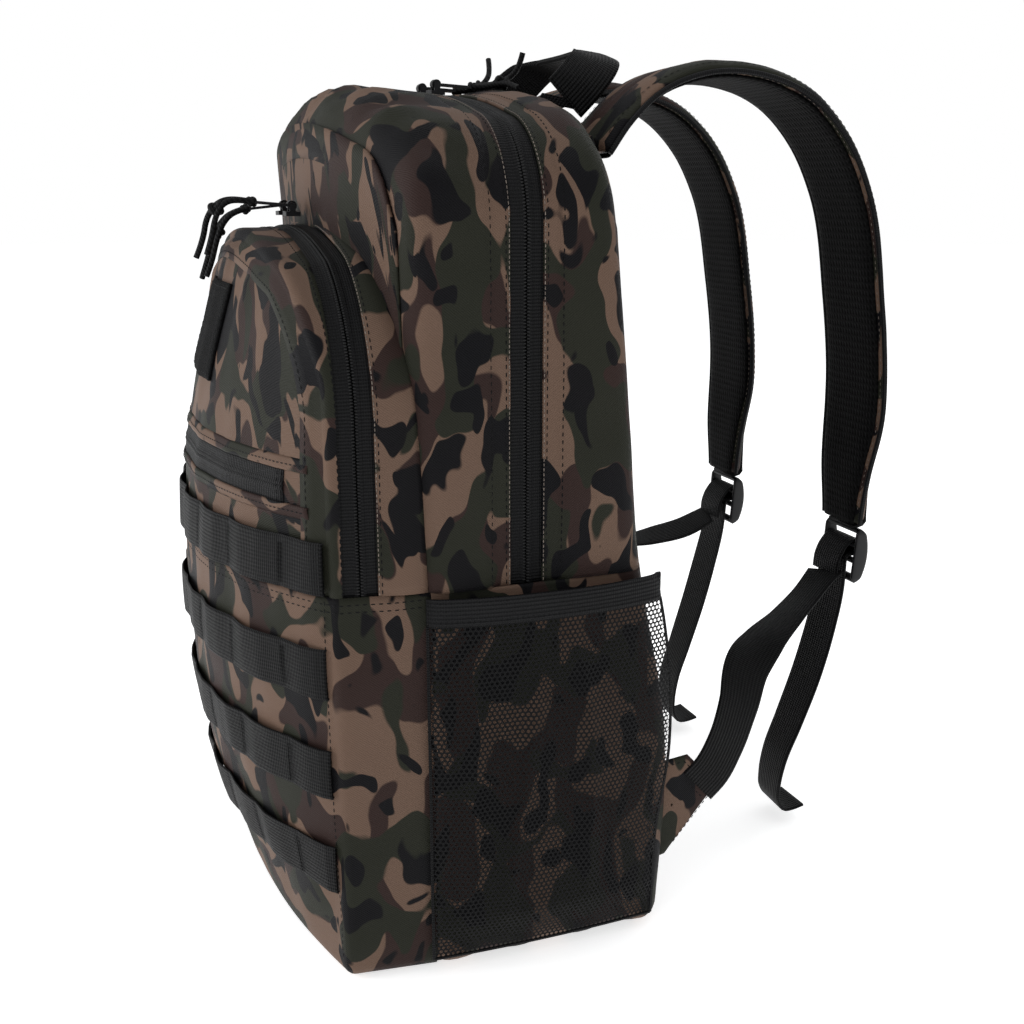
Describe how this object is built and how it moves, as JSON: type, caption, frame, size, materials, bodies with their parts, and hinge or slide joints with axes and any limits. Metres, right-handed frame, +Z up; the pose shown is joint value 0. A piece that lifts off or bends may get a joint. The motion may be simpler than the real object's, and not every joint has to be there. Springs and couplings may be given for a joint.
{
  "type": "tackle backpack",
  "caption": "Soft day pack for fishing tackle with a clamshell main compartment, zipped front pocket, webbing rows, mesh side pockets and padded straps.",
  "frame": {"origin": "on the ground under the middle of the pack, between its side seams", "axes": "+Z up, -Y towards the front pocket face, +Y towards the wearer, +X across the pack"},
  "size_m": [0.3156, 0.3855, 0.4513],
  "materials": {
    "camo_fabric": "woven polyester with a four-colour camouflage print",
    "black_webbing": "ribbed woven webbing",
    "zip_tape": "woven tape with nylon coil",
    "pocket_mesh": "open knitted mesh",
    "elastic": "ribbed elastic",
    "air_mesh": "spacer mesh",
    "foam": "closed-cell foam sheet",
    "board": "thin plastic stiffener",
    "lining": "plain woven lining",
    "loop_fabric": "brushed loop pile",
    "black_plastic": "moulded, fine satin",
    "zip_metal": "black lacquer",
    "paracord": "braided cord"
  },
  "bodies": {
    "root": {"main_shell": "camo_fabric", "base_board": "board", "back_foam": "foam", "back_pad": "air_mesh", "yoke_patch": "black_webbing", "handle_anchors": "black_webbing", "main_zip_rear": "zip_tape", "pocket_base": "camo_fabric", "molle_row_1": "black_webbing", "molle_row_2": "black_webbing", "molle_row_3": "black_webbing", "side_mesh_right": "pocket_mesh", "side_mesh_left": "pocket_mesh", "elastic_rim_right": "elastic", "elastic_rim_left": "elastic", "corner_tab_right": "camo_fabric", "corner_tab_left": "camo_fabric", "lower_webbing_right": "black_webbing", "lower_webbing_left": "black_webbing"},
    "main_flap": {"flap_shell": "camo_fabric", "main_zip_front": "zip_tape", "pocket_gusset": "camo_fabric", "pocket_zip_rear": "zip_tape"},
    "pocket_flap": {"pocket_face": "camo_fabric", "pocket_zip_front": "zip_tape", "molle_row_4": "black_webbing", "loop_patch": "loop_fabric", "small_zip": "zip_tape", "small_pocket_bag": "lining"},
    "haul_handle": {"haul_handle": "black_webbing"},
    "strap_right": {"strap_pad_right": "camo_fabric", "strap_mesh_right": "air_mesh", "upper_webbing_right": "black_webbing"},
    "lock_right": {"ladder_lock_right": "black_plastic", "strap_tail_right": "black_webbing"},
    "strap_left": {"strap_pad_left": "camo_fabric", "strap_mesh_left": "air_mesh", "upper_webbing_left": "black_webbing"},
    "lock_left": {"ladder_lock_left": "black_plastic", "strap_tail_left": "black_webbing"},
    "slider_main_right": {"slider_main_right": "zip_metal"},
    "pull_main_right": {"pull_tab_main_right": "zip_metal", "pull_cord_main_right_a": "paracord", "pull_cord_main_right_b": "paracord"},
    "slider_main_left": {"slider_main_left": "zip_metal"},
    "pull_main_left": {"pull_tab_main_left": "zip_metal", "pull_cord_main_left_a": "paracord", "pull_cord_main_left_b": "paracord"},
    "slider_pocket_right": {"slider_pocket_right": "zip_metal"},
    "pull_pocket_right": {"pull_tab_pocket_right": "zip_metal", "pull_cord_pocket_right_a": "paracord", "pull_cord_pocket_right_b": "paracord"},
    "slider_pocket_left": {"slider_pocket_left": "zip_metal"},
    "pull_pocket_left": {"pull_tab_pocket_left": "zip_metal", "pull_cord_pocket_left_a": "paracord", "pull_cord_pocket_left_b": "paracord"},
    "slider_small": {"slider_small": "zip_metal"},
    "pull_small": {"pull_tab_small": "zip_metal"}
  },
  "joints": [
    {"name": "main_flap_fold", "type": "hinge", "parent": "root", "child": "main_flap", "pos_m": [0, -0.1345, 0.2], "axis": [1, 0, 0], "range_deg": [0, 60]},
    {"name": "pocket_flap_fold", "type": "hinge", "parent": "main_flap", "child": "pocket_flap", "pos_m": [0, -0.1345, 0.2], "axis": [1, 0, 0], "range_deg": [0, 50]},
    {"name": "haul_handle_fold", "type": "hinge", "parent": "root", "child": "haul_handle", "pos_m": [0, 0.066, 0.424], "axis": [1, 0, 0], "range_deg": [0, 11]},
    {"name": "strap_right_swing", "type": "hinge", "parent": "root", "child": "strap_right", "pos_m": [0.07, 0.0715, 0.397], "axis": [1, 0, 0], "range_deg": [-7, 4], "deforming": ["lower_webbing_right"]},
    {"name": "lock_right_swing", "type": "hinge", "parent": "strap_right", "child": "lock_right", "pos_m": [0.07, 0.2445, 0.1865], "axis": [1, 0, 0], "range_deg": [-8, 10], "deforming": ["lower_webbing_right"]},
    {"name": "strap_left_swing", "type": "hinge", "parent": "root", "child": "strap_left", "pos_m": [-0.07, 0.0715, 0.397], "axis": [1, 0, 0], "range_deg": [-7, 4], "deforming": ["lower_webbing_left"]},
    {"name": "lock_left_swing", "type": "hinge", "parent": "strap_left", "child": "lock_left", "pos_m": [-0.07, 0.2445, 0.1865], "axis": [1, 0, 0], "range_deg": [-8, 10], "deforming": ["lower_webbing_left"]},
    {"name": "slider_main_right_travel", "type": "hinge", "parent": "main_flap", "child": "slider_main_right", "pos_m": [0, 0.01, 0.02], "axis": [0, 1, 0], "range_deg": [0, 12]},
    {"name": "pull_main_right_tilt", "type": "hinge", "parent": "slider_main_right", "child": "pull_main_right", "pos_m": [0.01318, 0.01, 0.43229], "axis": [0.9995, 0, -0.0319], "range_deg": [-2, 150]},
    {"name": "slider_main_left_travel", "type": "hinge", "parent": "main_flap", "child": "slider_main_left", "pos_m": [0, 0.01, 0.02], "axis": [0, 1, 0], "range_deg": [-12, 0]},
    {"name": "pull_main_left_tilt", "type": "hinge", "parent": "slider_main_left", "child": "pull_main_left", "pos_m": [-0.01318, 0.01, 0.43229], "axis": [0.9995, 0, 0.0319], "range_deg": [-2, 150]},
    {"name": "slider_pocket_right_travel", "type": "hinge", "parent": "pocket_flap", "child": "slider_pocket_right", "pos_m": [0, -0.068, 0.023], "axis": [0, 1, 0], "range_deg": [0, 12]},
    {"name": "pull_pocket_right_tilt", "type": "hinge", "parent": "slider_pocket_right", "child": "pull_pocket_right", "pos_m": [0.01118, -0.068, 0.37132], "axis": [0.9995, 0, -0.0321], "range_deg": [-85, 0]},
    {"name": "slider_pocket_left_travel", "type": "hinge", "parent": "pocket_flap", "child": "slider_pocket_left", "pos_m": [0, -0.068, 0.023], "axis": [0, 1, 0], "range_deg": [-12, 0]},
    {"name": "pull_pocket_left_tilt", "type": "hinge", "parent": "slider_pocket_left", "child": "pull_pocket_left", "pos_m": [-0.01118, -0.068, 0.37132], "axis": [0.9995, 0, 0.0321], "range_deg": [-85, 0]},
    {"name": "slider_small_travel", "type": "hinge", "parent": "pocket_flap", "child": "slider_small", "pos_m": [0, 0.1144, 0.2485], "axis": [0, 0, 1], "range_deg": [0, 47]},
    {"name": "pull_small_tilt", "type": "hinge", "parent": "slider_small", "child": "pull_small", "pos_m": [-0.10012, -0.11169, 0.2485], "axis": [0.9144, -0.4049, 0], "range_deg": [-90, 0]}
  ]
}
